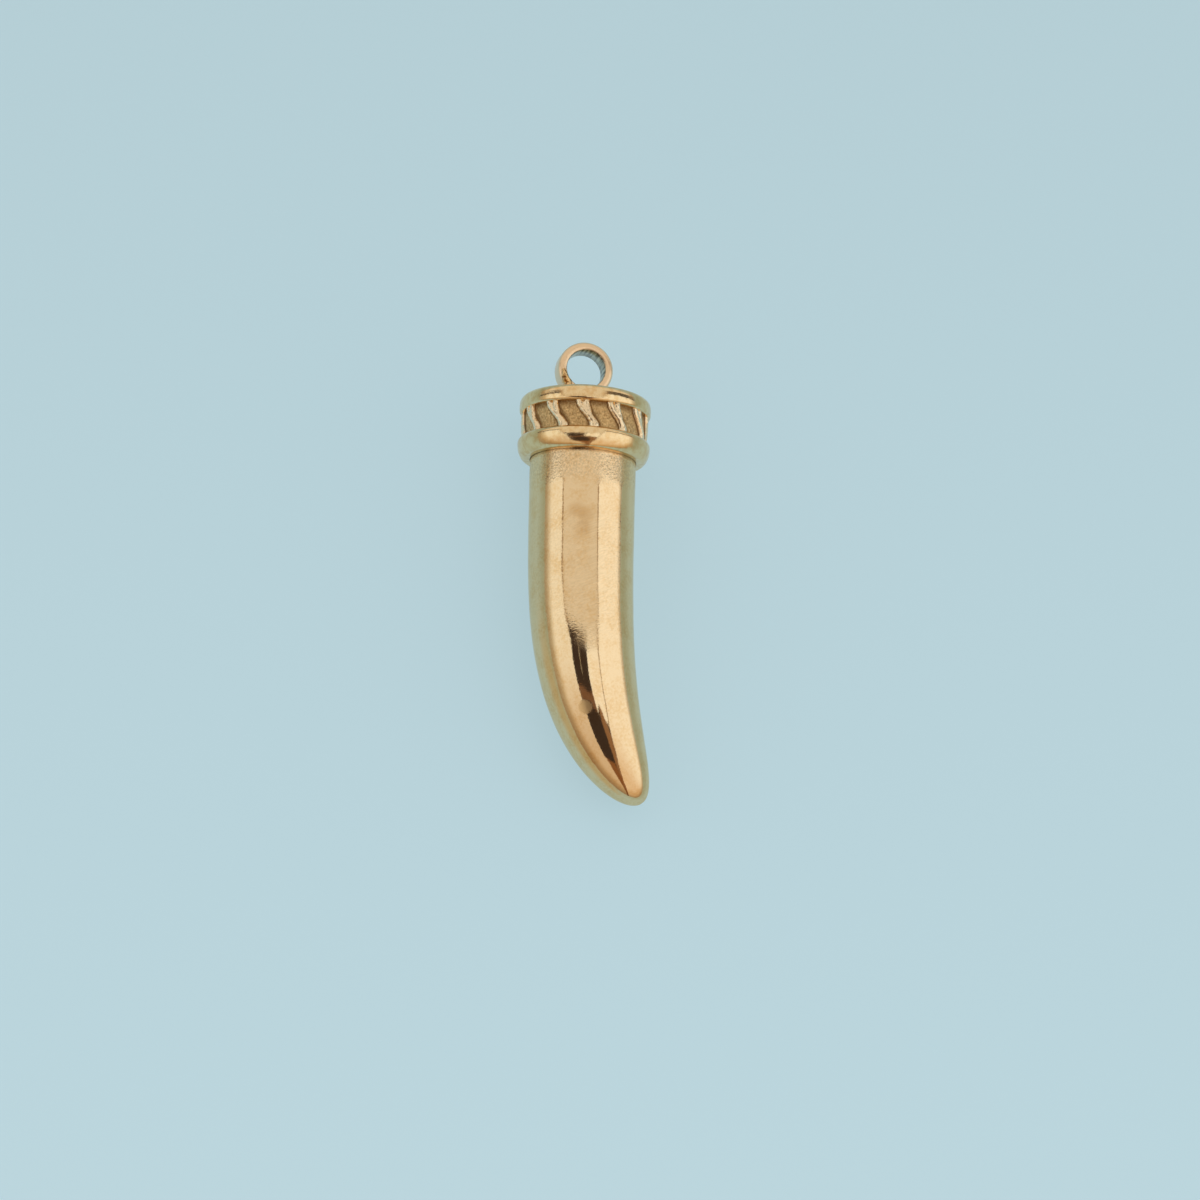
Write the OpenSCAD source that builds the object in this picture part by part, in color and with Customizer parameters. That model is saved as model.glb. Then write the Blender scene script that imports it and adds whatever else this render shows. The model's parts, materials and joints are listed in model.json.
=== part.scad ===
// Cornicello horn pendant: a curved horn with a ribbed cap and a soldered loop.
// The pendant lies on its side on a flat surface. Each piece is drawn upright, with the cap's axis on Z,
// the mouth of the cap at height 0, the loop above it and the horn below it, curling towards +X.
// The functions near the end find how it comes to rest, and lay_down() puts it there.

/* [Horn] */
// Diameter of the horn where it leaves the cap
horn_d = 6.8; // [5:0.1:10]
// Length of the horn from the mouth of the cap to the tip
horn_len = 21.8; // [14:0.1:36]
// How far the tip is off the cap's axis
curl = 4.85; // [1:0.05:8]
// Share of the curl that is an even lean from the mouth on
lean_share = 0.09; // [0:0.01:0.4]
// How late the rest of the curl comes, as a power of the length
curl_power = 4.1; // [2:0.1:6]
// How late the horn narrows, as a power of the length
taper_power = 3.85; // [2:0.05:6]

/* [Cap] */
// Clearance between the horn's seated end and the cup
seat_gap = 0.05; // [0.02:0.01:0.15]
// Wall of the cup at its mouth
lip_wall = 0.25; // [0.15:0.05:0.6]
// Wall of the cup in the recessed band
drum_wall = 0.35; // [0.25:0.05:0.8]
// Thickness of the crown over the horn's end
crown_wall = 0.65; // [0.4:0.05:1.2]
// Rise of the crown in the middle
crown_rise = 0.3; // [0.1:0.05:0.8]
// How far the bead stands out from the recessed band
bead_out = 0.45; // [0.25:0.05:1]
// Height of the bead's widest line above the mouth
bead_low = 1; // [0.6:0.05:2]
// Height of the bead above its widest line
bead_high = 0.3; // [0.08:0.02:0.5]
// Height of the recessed band
recess_h = 1.8; // [1:0.1:4]
// How far the rim stands out from the recessed band
rim_out = 0.42; // [0.25:0.01:1]
// Height of the rim below its widest line
rim_low = 0.4; // [0.3:0.05:1.2]
// Height of the rim above its widest line
rim_high = 0.5; // [0.1:0.05:0.8]
// Rounding of the rim's lower edge
rim_edge = 0.15; // [0.05:0.05:0.25]

/* [Ribs] */
// Number of ribs round the band
rib_count = 12; // [6:1:16]
// Width of a rib where it is widest
rib_w = 0.8; // [0.4:0.05:1]
// How far a rib stands out from the band
rib_h = 0.2; // [0.1:0.02:0.24]
// Turn of a rib round the band from its lower to its upper end, in degrees
rib_turn = 12; // [-20:1:20]
// Angle of the first rib round the cap, from the side that the horn curls to
rib_start = 22; // [0:1:60]

/* [Loop] */
// Diameter of the hole
bore_d = 2.5; // [1.6:0.1:4]
// Thickness of the loop between the hole and its outside
loop_wall = 0.55; // [0.4:0.05:1.2]
// Width of the loop along the hole
loop_w = 1.5; // [0.8:0.1:3]
// Rounding of the loop's outer edges
loop_round = 0.3; // [0.05:0.01:0.35]
// How far the loop is off the cap's axis, away from the curl
loop_off = 0.22; // [0:0.02:0.6]
// How deep the loop is sunk into the crown
loop_sink = 0.1; // [0.1:0.01:0.35]
// How far the solder spreads round the loop's foot
solder_w = 0.4; // [0.1:0.05:0.6]

/* [Hidden] */

horn_sides = 48;
horn_rings = 72;
rest_steps = 400;
curve_steps = 9;
edge_steps = 4;
cap_facets = 96;
loop_facets = 72;
solder_facets = 48;
// Above 1, the horn's rings lie closer together towards its round tip
crowding = 1.8;
// How far a cutter runs past the face that it cuts
past = 1;
// The search for the rest starts with the loop raised by some degrees and stops at a fine step
first_raise = 4;
last_step = 0.02;

// Radii and heights that follow from the sizes above
horn_r = horn_d / 2;
cup_r = horn_r + seat_gap;
lip_r = cup_r + lip_wall;
drum_r = cup_r + drum_wall;
bead_r = drum_r + bead_out;
rim_r = drum_r + rim_out;
recess_z = bead_low + bead_high;
rim_z = recess_z + recess_h + rim_low;
edge_z = rim_z + rim_high;
crown_z = edge_z + crown_rise;
crown_r = rim_r - rim_high;
// How deep the ribbed band is let into the wall of the cup
band_seat = drum_wall / 3;
cup_depth = edge_z - crown_wall;
bore_r = bore_d / 2;
loop_r = bore_r + loop_wall;
loop_z = crown_z - loop_sink + loop_r;

// A rib from its lower to its upper end, each column a share:
// height in the band, turn, width and how far it stands out
rib_rows = [
    [-0.20, 0.00, 0.50, 0.7],
    [0.12, 0.04, 0.55, 0.9],
    [0.28, 0.26, 0.60, 1.0],
    [0.45, 0.54, 0.65, 1.0],
    [0.62, 0.78, 0.78, 0.9],
    [0.80, 0.95, 1.00, 1.0],
    [1.20, 1.00, 1.00, 1.0]
];
// Across a rib and the band beside it:
// place in half widths of the rib, share of its height, share of the way to the next rib
rib_across = [
    [-1.00, 0.00, 0.0],
    [-0.70, 0.65, 0.0],
    [-0.25, 1.00, 0.0],
    [0.25, 1.00, 0.0],
    [0.70, 0.65, 0.0],
    [1.00, 0.00, 0.0],
    [0.00, 0.00, 0.5]
];

// Points of an elliptic arc about [r, z], from angle a to angle b, from the step first on
function arc(r, z, rx, rz, a, b, steps, first = 0) =
    [for (i = [first : steps])
        let (t = a + (b - a) * i / steps) [r + rx * cos(t), z + rz * sin(t)]];

// The horn's axis, its direction and its radius at the share u of its length
function bend(u) = curl * (lean_share * u + (1 - lean_share) * pow(u, curl_power));
function bend_rate(u) = curl * (lean_share + (1 - lean_share) * curl_power * pow(u, curl_power - 1));
function axis_at(u) = [bend(u), 0, -horn_len * u];
function aim_at(u) = let (v = [bend_rate(u), 0, -horn_len]) v / norm(v);
function radius_at(u) = horn_r * sqrt(1 - pow(u, taper_power));
function share(i, count) = 1 - pow(1 - i / count, crowding);

// A ring of the horn's points, seen along the axis: the first side of the ring faces the angle low
function horn_ring(u, low) =
    let (side = cross(aim_at(u), [0, 1, 0]), r = radius_at(u))
    [for (i = [0 : horn_sides - 1]) let (t = low + (i + 0.5) * 360 / horn_sides)
        axis_at(u) + r * cos(t) * side + [0, r * sin(t), 0]];

// Faces of a solid made of rings of points, flat at its first ring and closed to a point after its last
function pointed_faces(rings, sides) = concat(
    [[for (i = [sides - 1 : -1 : 0]) i]],
    [for (k = [0 : rings - 2], i = [0 : sides - 1])
        let (j = (i + 1) % sides) [k * sides + i, k * sides + j, (k + 1) * sides + j, (k + 1) * sides + i]],
    [for (i = [0 : sides - 1])
        let (j = (i + 1) % sides) [(rings - 1) * sides + i, (rings - 1) * sides + j, rings * sides]]
);

// Slices of the horn for its weight and its rest: place, direction, radius and volume
slices = [for (i = [0 : rest_steps - 1])
    let (u = (share(i, rest_steps) + share(i + 1, rest_steps)) / 2,
        r = radius_at(u),
        dz = horn_len * (share(i + 1, rest_steps) - share(i, rest_steps)))
    [axis_at(u), aim_at(u), r, PI * r * r * dz]];
function total(list, i = 0) = i == len(list) - 1 ? list[i] : list[i] + total(list, i + 1);
function tube(r_out, r_in, z_low, z_high) =
    [[0, 0, (z_low + z_high) / 2], PI * (r_out * r_out - r_in * r_in) * (z_high - z_low)];
masses = concat(
    [for (s = slices) [s[0], s[3]]],
    [
        tube(horn_r, 0, 0, cup_depth),
        tube(drum_r, cup_r, 0, cup_depth),
        tube((drum_r + bead_r) / 2, drum_r, 0, recess_z),
        tube(rim_r, drum_r, rim_z - rim_low, rim_z),
        tube((drum_r + rim_r) / 2, drum_r, rim_z, edge_z),
        tube(drum_r, 0, cup_depth, edge_z + crown_rise / 2),
        [[-loop_off, 0, loop_z], PI * (loop_r * loop_r - bore_r * bore_r) * loop_w]
    ]
);
balance = total([for (m = masses) m[0] * m[1]]) / total([for (m = masses) m[1]]);

// How far the pendant reaches in the direction d
function ring_reach(r, z, d) = z * d.z + r * sqrt(1 - d.z * d.z);
function loop_reach(d) = [-loop_off, 0, loop_z] * d + loop_r * sqrt(1 - d.y * d.y) + loop_w / 2 * abs(d.y);
function horn_reach(d) = max([for (s = slices) s[0] * d + s[2] * sqrt(1 - pow(s[1] * d, 2))]);
function reach(d) =
    max(horn_reach(d), ring_reach(bead_r, bead_low, d), ring_reach(rim_r, rim_z, d), loop_reach(d));

// The way up when the pendant lies rolled by v[0] about its own axis, with its loop raised by v[1]
function up(v) = [sin(v[0]) * cos(v[1]), -cos(v[0]) * cos(v[1]), sin(v[1])];
function lift(v) = balance * up(v) + reach(-up(v));
// It comes to rest where its centre of gravity is lowest
function settle(v, step) =
    step < last_step ? v :
    let (tries = [for (s = [[step, 0], [-step, 0], [0, step], [0, -step]]) [lift(v + s), v + s]],
        low = min([for (t = tries) t[0]]))
    low < lift(v) ? settle([for (t = tries) if (t[0] == low) t[1]][0], step) : settle(v, step / 2);
rest = settle([0, first_raise], first_raise);

// Directions of the floor's axes, seen from the upright pendant, and the middle of its footprint
floor_z = up(rest);
floor_x = [cos(rest[0]), sin(rest[0]), 0];
floor_y = cross(floor_z, floor_x);
mid_x = (reach(floor_x) - reach(-floor_x)) / 2;
mid_y = (reach(floor_y) - reach(-floor_y)) / 2;

module lay_down() {
    translate([-mid_x, -mid_y, reach(-floor_z)])
        rotate([rest[1], 0, 0])
            rotate([0, -rest[0], 0])
                rotate([-90, 0, 0])
                    children();
}

// Closed solid of the horn, its straight seated end first
module horn_body() {
    low = 90 + rest[0];
    seat = [for (p = horn_ring(0, low)) [p.x, p.y, cup_depth - seat_gap]];
    rings = [for (i = [0 : horn_rings - 1]) horn_ring(share(i, horn_rings), low)];
    points = concat(seat, [for (r = rings) each r], [axis_at(1)]);
    polyhedron(points, pointed_faces(horn_rings + 1, horn_sides));
}

// Cup, bead, rim and crown, without the ribs
module cap_shell() {
    core_r = drum_r - band_seat;
    outline = concat(
        [[0, 0]],
        arc(lip_r, bead_low, bead_r - lip_r, bead_low, -90, 0, curve_steps),
        arc(bead_r - bead_high, bead_low, bead_high, bead_high, 0, 90, edge_steps, 1),
        [[core_r, recess_z]],
        [[core_r, rim_z - rim_low]],
        arc(rim_r - rim_edge, rim_z - rim_low + rim_edge, rim_edge, rim_edge, -90, 0, edge_steps),
        arc(crown_r, rim_z, rim_high, rim_high, 0, 90, curve_steps),
        [for (i = [1 : curve_steps])
            let (s = 1 - i / curve_steps) [crown_r * s, edge_z + crown_rise * (1 - s * s)]]
    );
    rotate_extrude($fn = cap_facets) polygon(outline);
}

// The band with its ribs, as one closed ring
module rib_band() {
    inner_r = drum_r - 2 * band_seat;
    pitch = 360 / rib_count;
    half_w = rib_w / 2 / drum_r * 180 / PI;
    rows = len(rib_rows);
    columns = rib_count * len(rib_across);
    function band_point(row, rib, across) =
        let (middle = rib_start + rib * pitch - rib_turn * (row[1] - 0.5),
            t = middle + across[0] * row[2] * half_w + across[2] * pitch,
            r = drum_r + rib_h * row[3] * across[1])
        [r * cos(t), r * sin(t), recess_z + recess_h * row[0]];
    function inner_point(row, rib, across) =
        let (p = band_point(row, rib, across), d = norm([p.x, p.y]))
        [p.x * inner_r / d, p.y * inner_r / d, p.z];
    points = concat(
        [for (row = rib_rows, rib = [0 : rib_count - 1], a = rib_across) band_point(row, rib, a)],
        [for (row = [rib_rows[0], rib_rows[rows - 1]], rib = [0 : rib_count - 1], a = rib_across)
            inner_point(row, rib, a)]
    );
    // Each step names the two rings that a row of faces joins
    steps = concat(
        [for (k = [0 : rows - 2]) [k, k + 1]],
        [[rows - 1, rows + 1], [rows + 1, rows], [rows, 0]]
    );
    faces = [for (s = steps, i = [0 : columns - 1])
        let (j = (i + 1) % columns)
        [s[0] * columns + j, s[0] * columns + i, s[1] * columns + i, s[1] * columns + j]];
    polyhedron(points, faces);
}

// The loop, its hole along Y, with the solder at its foot
module hanging_loop() {
    half = loop_w / 2;
    profile = concat(
        [[bore_r, -half]],
        arc(loop_r - loop_round, loop_round - half, loop_round, loop_round, -90, 0, edge_steps),
        arc(loop_r - loop_round, half - loop_round, loop_round, loop_round, 0, 90, edge_steps),
        [[bore_r, half]]
    );
    translate([-loop_off, 0, loop_z])
        rotate([90, 0, 0])
            rotate_extrude($fn = loop_facets) polygon(profile);
}

module solder_foot() {
    foot_r = loop_w / 2 + solder_w;
    top_r = (loop_w + solder_w) / 2;
    translate([-loop_off, 0, crown_z - loop_sink])
        cylinder(h = loop_wall / 2, r1 = foot_r, r2 = top_r, $fn = solder_facets);
}

module horn() {
    color("#D9B26F") lay_down() horn_body();
}

module cap() {
    color("#CFA560") lay_down() {
        difference() {
            union() {
                cap_shell();
                rib_band();
                solder_foot();
            }
            translate([0, 0, -past]) cylinder(h = cup_depth + past, r = cup_r, $fn = cap_facets);
        }
        hanging_loop();
    }
}

horn();
cap();
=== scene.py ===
import json
import math
import random
import bpy
from mathutils import Matrix, Vector


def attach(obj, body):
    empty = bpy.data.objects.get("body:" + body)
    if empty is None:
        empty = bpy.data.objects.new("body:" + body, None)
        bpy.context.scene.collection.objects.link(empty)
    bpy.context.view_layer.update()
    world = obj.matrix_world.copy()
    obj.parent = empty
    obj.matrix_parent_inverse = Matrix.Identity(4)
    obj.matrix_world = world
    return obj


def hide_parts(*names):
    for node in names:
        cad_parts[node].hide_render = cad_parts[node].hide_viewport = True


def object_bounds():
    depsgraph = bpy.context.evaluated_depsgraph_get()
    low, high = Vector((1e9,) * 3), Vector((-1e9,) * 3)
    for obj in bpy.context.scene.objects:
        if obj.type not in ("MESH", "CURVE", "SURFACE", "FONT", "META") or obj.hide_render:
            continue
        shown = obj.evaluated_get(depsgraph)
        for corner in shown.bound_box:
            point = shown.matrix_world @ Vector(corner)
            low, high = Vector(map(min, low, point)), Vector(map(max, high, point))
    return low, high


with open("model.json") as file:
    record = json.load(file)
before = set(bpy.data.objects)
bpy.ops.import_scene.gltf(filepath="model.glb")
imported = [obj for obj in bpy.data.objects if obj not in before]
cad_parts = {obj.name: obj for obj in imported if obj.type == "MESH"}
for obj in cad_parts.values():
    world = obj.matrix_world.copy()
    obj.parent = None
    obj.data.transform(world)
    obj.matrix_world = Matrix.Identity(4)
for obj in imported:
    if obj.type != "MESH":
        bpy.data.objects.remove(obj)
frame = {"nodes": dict(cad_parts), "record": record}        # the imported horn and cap, lying as the pendant does by itself
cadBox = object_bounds()
print("frame loaded:", ", ".join(sorted(frame["nodes"])))

# The new pieces are drawn upright in millimetres: the cap's axis on Z, its mouth at height 0,
# the loop above, the horn below and curling to +X. layDown brings them to metres and to rest.
mm = 0.001
upright = {
    "loopOff": 0.22,      # the loop's middle is this far off the cap's axis, away from the curl
    "loopHeight": 6.0,    # and this far above the mouth of the cap
}
loopMount = frame["record"]["mounts"][0]
boreDir = Vector(loopMount["axis"]).normalized()
capDir = Vector((0, boreDir.z, -boreDir.y)).normalized()
curlDir = capDir.cross(boreDir)
turned = Matrix((curlDir, -boreDir, capDir)).transposed()
mouth = (
    Vector(loopMount["pos_m"]) / mm
    + curlDir * upright["loopOff"]
    - capDir * upright["loopHeight"]
)
layDown = Matrix.Scale(mm, 4) @ Matrix.Translation(mouth) @ turned.to_4x4()


# Camera

shot = {
    "elevation": 72.00,   # degrees above the surface
    "turn": -13.19,       # degrees round the pendant, from the tip's end
    "roll": 16.15,        # degrees that the picture is turned
    "aim": (1.17, -1.30, 1.65),    # mm, the middle of the picture
    "distance": 319.4,    # mm
    "lens": 150,
    "sensor": 36,
}


def addCamera():
    elevation, turn, roll = (math.radians(shot[k]) for k in ("elevation", "turn", "roll"))
    back = Vector((
        math.sin(turn) * math.cos(elevation),
        -math.cos(turn) * math.cos(elevation),
        math.sin(elevation),
    ))
    level = Vector((math.cos(turn), math.sin(turn), 0))
    upward = back.cross(level)
    right = level * math.cos(roll) + upward * math.sin(roll)
    over = upward * math.cos(roll) - level * math.sin(roll)
    bpy.ops.object.camera_add()
    camera = bpy.context.object
    camera.name = "photoCamera"
    pose = Matrix((right, over, back)).transposed().to_4x4()
    pose.translation = (Vector(shot["aim"]) + back * shot["distance"]) * mm
    camera.matrix_world = pose
    camera.data.lens = shot["lens"]
    camera.data.sensor_width = shot["sensor"]
    camera.data.clip_start = 0.01
    camera.data.clip_end = 10
    bpy.context.scene.camera = camera


addCamera()
print("camera placed")


# Small helpers

def deselectAll():
    bpy.ops.object.select_all(action="DESELECT")


def editAll():
    bpy.ops.object.mode_set(mode="EDIT")
    bpy.ops.mesh.select_all(action="SELECT")


def leaveEdit():
    bpy.ops.object.mode_set(mode="OBJECT")
    return bpy.context.object


def makeActive(piece):
    deselectAll()
    piece.select_set(True)
    bpy.context.view_layer.objects.active = piece


def applyModifier(piece, kind, **settings):
    makeActive(piece)
    bpy.ops.object.modifier_add(type=kind)
    modifier = piece.modifiers[-1]
    for name, value in settings.items():
        setattr(modifier, name, value)
    bpy.ops.object.modifier_apply(modifier=modifier.name)


def joinPieces(pieces):
    makeActive(pieces[0])
    for piece in pieces[1:]:
        piece.select_set(True)
    bpy.ops.object.join()
    return bpy.context.object


def drawLine(name, points):
    # a line through the points, extruded from a plane that is merged to its middle
    deselectAll()
    bpy.ops.mesh.primitive_plane_add(size=1, location=(0, 0, 0))
    bpy.context.object.name = name
    editAll()
    bpy.ops.mesh.merge(type="CENTER")
    places = [Vector(p) for p in points]
    bpy.ops.transform.translate(value=places[0])
    for here, there in zip(places, places[1:]):
        bpy.ops.mesh.extrude_region_move(TRANSFORM_OT_translate={"value": there - here})


def spinLine(name, points, steps, middle, axis):
    # a closed body turned from an outline
    drawLine(name, points)
    bpy.ops.mesh.select_all(action="SELECT")
    bpy.ops.mesh.spin(steps=steps, angle=2 * math.pi, center=middle, axis=axis)
    bpy.ops.mesh.select_all(action="SELECT")
    bpy.ops.mesh.remove_doubles(threshold=0.0005)
    bpy.ops.mesh.normals_make_consistent(inside=False)
    return leaveEdit()


def drawBar(name, stations, sides):
    # a round bar grown ring by ring; a station is its middle, its radius and its lean about Y
    middle, radius, lean = stations[0]
    deselectAll()
    bpy.ops.mesh.primitive_circle_add(
        vertices=sides, radius=radius, fill_type="NGON", location=middle, rotation=(0, lean, 0)
    )
    bpy.context.object.name = name
    bpy.ops.object.transform_apply(location=True, rotation=True, scale=True)
    editAll()
    for before, after in zip(stations, stations[1:]):
        step = Vector(after[0]) - Vector(before[0])
        bpy.ops.mesh.extrude_region_move(TRANSFORM_OT_translate={"value": step})
        if after[2] != before[2]:
            # with no window the operator turns the other way
            bpy.ops.transform.rotate(
                value=before[2] - after[2], orient_axis="Y", center_override=after[0]
            )
        grow = after[1] / before[1]
        bpy.ops.transform.resize(value=(grow, grow, grow), center_override=after[0])
    bpy.ops.mesh.select_all(action="SELECT")
    bpy.ops.mesh.normals_make_consistent(inside=False)
    return leaveEdit()


def arcPoints(middle, reach, start, end, steps, first=0):
    # points of an ellipse about (radius, height), angles in degrees
    points = []
    for i in range(first, steps + 1):
        angle = math.radians(start + (end - start) * i / steps)
        points.append((middle[0] + reach[0] * math.cos(angle), middle[1] + reach[1] * math.sin(angle)))
    return points


def shadeSmooth(piece):
    makeActive(piece)
    bpy.ops.object.shade_smooth()


def layPiece(piece):
    makeActive(piece)
    piece.matrix_world = layDown @ piece.matrix_world
    bpy.ops.object.transform_apply(location=True, rotation=True, scale=True)


def countTriangles(piece):
    return sum(len(face.vertices) - 2 for face in piece.data.polygons)


def hexColour(code):
    # sRGB hex to linear
    channels = [int(code[i:i + 2], 16) / 255 for i in (1, 3, 5)]
    return tuple(c / 12.92 if c <= 0.04045 else ((c + 0.055) / 1.055) ** 2.4 for c in channels) + (1,)


def addNode(material, kind, inputs=None, **settings):
    node = material.node_tree.nodes.new("ShaderNode" + kind)
    for name, value in settings.items():
        setattr(node, name, value)
    for socket, value in (inputs or {}).items():
        if isinstance(value, bpy.types.NodeSocket):
            material.node_tree.links.new(value, node.inputs[socket])
        else:
            node.inputs[socket].default_value = value
    return node


def startMaterial(name):
    material = bpy.data.materials.new(name)
    material.use_nodes = True
    material.node_tree.nodes.clear()
    return material


def finishMaterial(material, shader):
    output = addNode(material, "OutputMaterial")
    material.node_tree.links.new(shader.outputs[0], output.inputs["Surface"])
    return material


def uprightCoordinates(material):
    # the pendant's own upright millimetres, from the lying piece's metres
    back = turned.transposed()
    place = addNode(material, "TexCoord")
    return addNode(material, "Mapping", {
        "Vector": place.outputs["Object"],
        "Location": -(back @ mouth),
        "Rotation": back.to_euler("XYZ"),
        "Scale": (1 / mm,) * 3,
    }).outputs[0]


# Surface and light: a pale blue card under softboxes that lean together over the horn's tip

room = {
    "card": "#B6D2DD",
    "cardSize": 1.6,      # m
    "cardPaper": 0.42,    # share of the card's colour that the lamps light
    "cardGlow": 0.72,     # share that comes through it from below, so shadows stay faint
    "cardNear": 1.08,     # the light from below is a little stronger near the tip of the horn
    "cardFar": 0.96,
    "cardSlope": 0.045,   # m, from the middle to where it is that much stronger or weaker
    "dark": "#40352F",    # the rest of the room
    "reach": 0.9,         # m, how far the softboxes are from the pendant
    "backReach": 1.15,    # cards behind them show only where the ones in front leave gaps
    "ceilingReach": 1.5,
    "seamReach": 1.7,
    "fadeFrom": 0.20,     # the softboxes fade to their lower ends, by the sine of the height
    "fadeTo": 0.0,
    "fadeLeft": 0.56,     # share of the light that is left there
    "frontFrom": 0.0,     # the two big ones also turn dimmer and warmer to their front
    "frontTo": -0.7,
    "frontTint": "#FFE8CC",
}
# Corners are degrees from overhead, to +X and to +Y. Glow is the light's strength
softboxes = (
    {"name": "leftSoftbox", "glow": 0.97, "tint": "#FFFEF6", "front": 0.73, "fade": 0.36, "corners": (
        (-45, 17), (-46, 5), (-41, -1), (-34, -5), (-33, -15), (-28.5, -25), (-24.5, -38), (-19, -44.5),
        (-10.5, -48), (-6, -57), (-0.5, -68), (1.2, -80), (1.5, -92), (-50, -88), (-70, -70), (-88, -40),
        (-92, -4), (-92, 10), (-90, 22),
    )},
    {"name": "rightSoftbox", "glow": 1.06, "tint": "#FFFDF6", "front": 0.8, "corners": (
        (30.3, 17), (31.6, 10), (31.2, 8), (27, 3.8), (24.2, -0.8), (24.2, -6.5), (19.4, -16.9),
        (16.4, -32.8), (11.5, -44), (8.8, -56), (8.2, -66), (8, -78), (7, -92), (50, -86), (78, -54),
        (88, -28), (92, -4), (92, 14), (90, 25),
    )},
    {"name": "fillCard", "glow": 1.04, "tint": "#FFFDF6", "corners": (
        (-1.5, -3.2), (8, -1.2), (24, 1.8), (22.8, -1), (22.8, -6.5), (18.4, -15.5), (13.9, -16),
        (6.1, -13.7), (0.3, -18.5), (-2.7, -14.6), (-3.1, -9.3), (-2.4, -5.8),
    )},
    {"name": "slitCard", "glow": 0.6, "tint": "#FFF2DC", "corners": (
        (-19.7, -4.8), (-18.5, -4.6), (-16.6, -11.0), (-17.1, -11.2),
    )},
    {"name": "brownCard", "glow": 0.41, "tint": "#DBA87C", "corners": (
        (6.1, -13.7), (13.9, -16), (18.2, -19), (15.3, -32.8), (12, -44), (7, -53.5), (6.4, -50.6),
        (6.6, -38.2), (6.5, -27.2), (3.4, -20.2),
    )},
    {"name": "rustCard", "glow": 0.32, "tint": "#D2A07E", "corners": (
        (-32, -16.2), (-12, -15.0), (-3, -12.6), (1, -18.2), (-6, -18.6), (-29.5, -21.4),
    )},
    {"name": "lowRustCard", "glow": 0.4, "tint": "#D29260", "reach": "backReach", "corners": (
        (-26, -46), (4.4, -41), (6, -46), (16, -50), (18, -92), (-14, -92), (-22, -56),
    )},
    {"name": "leftSeamCard", "glow": 0.45, "tint": "#E0B888", "reach": "seamReach", "corners": (
        (-47.5, 24), (-48.5, 4), (-42, -2.5), (-38, -3.0), (-37, 0.5), (-42.5, 4), (-41.5, 24),
    )},
    {"name": "rightSeamCard", "glow": 0.45, "tint": "#E0B888", "reach": "seamReach", "corners": (
        (22, -17), (25.5, -6.5), (25.5, -1), (29, 3.5), (33, 8), (33, 27), (27, 27), (27, 11), (24, 3),
        (21.5, -1), (21.5, -7), (17, -16),
    )},
    {"name": "ceilingCard", "glow": 0.79, "tint": "#FFF6E6", "reach": "ceilingReach", "corners": (
        (-43.4, 8), (-44.6, 3.5), (-39.5, 0.5), (-32, -1.6), (-14, -0.9), (-3, -1.4), (8, -1.2),
        (24, 1.8), (25.4, 3.8), (29.8, 8), (30.2, 10), (28.9, 12), (28.9, 26), (92, 30), (60, 78), (0, 96),
        (-60, 78), (-92, 28), (-43.2, 24),
    )},
)


def towards(corner, distance):
    # the place of a corner in the room
    fromZenith = math.radians(math.hypot(*corner))
    bearing = math.atan2(corner[1], corner[0])
    flat = math.sin(fromZenith) * distance
    return Vector((flat * math.cos(bearing), flat * math.sin(bearing), math.cos(fromZenith) * distance))


def softboxCloth(box):
    # white or tinted diffuser cloth, an even glow that fades to the box's lower end
    material = startMaterial(box["name"] + "Cloth")
    place = addNode(material, "TexCoord").outputs["Object"]
    outward = addNode(material, "VectorMath", {0: place}, operation="NORMALIZE").outputs[0]
    height = addNode(material, "SeparateXYZ", {0: outward}).outputs["Z"]
    strength = addNode(material, "MapRange", {
        "Value": height, "From Min": room["fadeTo"], "From Max": box.get("fade", room["fadeFrom"]),
        "To Min": box["glow"] * room["fadeLeft"], "To Max": box["glow"],
    }, interpolation_type="SMOOTHSTEP").outputs[0]
    colour = hexColour(box["tint"])
    if "front" in box:
        along = addNode(material, "SeparateXYZ", {0: outward}).outputs["Y"]
        front = addNode(material, "MapRange", {
            "Value": along, "From Min": room["frontFrom"], "From Max": room["frontTo"],
        }, interpolation_type="SMOOTHSTEP").outputs[0]
        dimmer = tuple(c * box["front"] for c in hexColour(room["frontTint"])[:3]) + (1,)
        colour = addNode(material, "Mix", {0: front, 6: colour, 7: dimmer}, data_type="RGBA").outputs[2]
    shader = addNode(material, "Emission", {"Color": colour, "Strength": strength})
    return finishMaterial(material, shader)


def addSoftbox(box):
    reach = room[box.get("reach", "reach")]
    corners = [towards(c, reach) for c in box["corners"]]
    drawLine(box["name"], corners + corners[:1])
    bpy.ops.mesh.select_all(action="SELECT")
    bpy.ops.mesh.remove_doubles(threshold=0.0001)
    bpy.ops.mesh.edge_face_add()
    panel = leaveEdit()
    panel.data.materials.append(softboxCloth(box))


def addFloor():
    # matt paper on a light table, so shadows stay faint and nothing shines
    deselectAll()
    bpy.ops.mesh.primitive_plane_add(size=room["cardSize"], location=(0, 0, cadBox[0].z))
    floor = bpy.context.object
    floor.name = "paleBlueCard"
    bpy.ops.object.transform_apply(location=True)
    material = startMaterial("paleBluePaper")
    colour = hexColour(room["card"])
    place = addNode(material, "TexCoord").outputs["Object"]
    along = addNode(material, "SeparateXYZ", {0: place}).outputs["Y"]
    glow = addNode(material, "MapRange", {
        "Value": along, "From Min": -room["cardSlope"], "From Max": room["cardSlope"],
        "To Min": room["cardGlow"] * room["cardNear"], "To Max": room["cardGlow"] * room["cardFar"],
    }).outputs[0]
    shader = addNode(material, "BsdfPrincipled", {
        "Base Color": tuple(c * room["cardPaper"] for c in colour[:3]) + (1,),
        "Roughness": 0.9,
        "Specular IOR Level": 0.0,
        "Emission Color": colour,
        "Emission Strength": glow,
    })
    floor.data.materials.append(finishMaterial(material, shader))


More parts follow.
